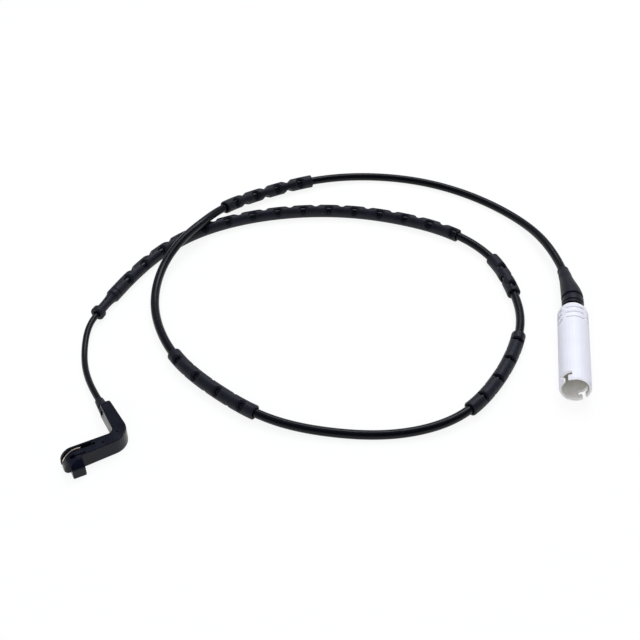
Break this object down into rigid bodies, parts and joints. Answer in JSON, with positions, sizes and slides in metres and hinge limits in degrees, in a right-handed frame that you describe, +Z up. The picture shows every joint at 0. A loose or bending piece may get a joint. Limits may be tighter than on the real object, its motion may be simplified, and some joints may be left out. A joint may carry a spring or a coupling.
{
  "type": "brake_wear_sensor",
  "caption": "Disc brake pad wear sensor: black forked sensing head, thin lead, sleeved black cable and a white round bayonet connector, lying in a loop.",
  "frame": {"origin": "middle of the sensing head's box in plan, at the surface it lies on", "axes": "+X from the head's rounded tip along its lower arm to the elbow, +Y along the upper arm towards the lead, +Z up from the surface"},
  "size_m": [0.2827, 0.2203, 0.0154],
  "materials": {
    "black_plastic": "satin black moulding",
    "cable_jacket": "glossy black jacket",
    "sleeve_rubber": "dark satin rubber",
    "white_plastic": "smooth white moulding",
    "carrier_plastic": "dark moulding",
    "spring_metal": "copper coloured spring strip",
    "contact_metal": "plated contact",
    "enamel": "enamelled wire"
  },
  "bodies": {
    "root": {"head_body": "black_plastic", "retaining_spring": "spring_metal", "sensing_wire": "enamel", "lead_boot": "sleeve_rubber", "lead": "cable_jacket", "long_sleeve": "sleeve_rubber", "cable": "cable_jacket", "sleeve_2": "sleeve_rubber", "sleeve_3": "sleeve_rubber", "sleeve_4": "sleeve_rubber", "sleeve_5": "sleeve_rubber", "connector_boot": "sleeve_rubber", "connector_shell": "white_plastic", "contact_carrier": "carrier_plastic", "contact_pin_a": "contact_metal", "contact_pin_b": "contact_metal", "core_wire_a": "cable_jacket", "core_wire_b": "cable_jacket", "wire_seal": "sleeve_rubber"}
  },
  "joints": []
}
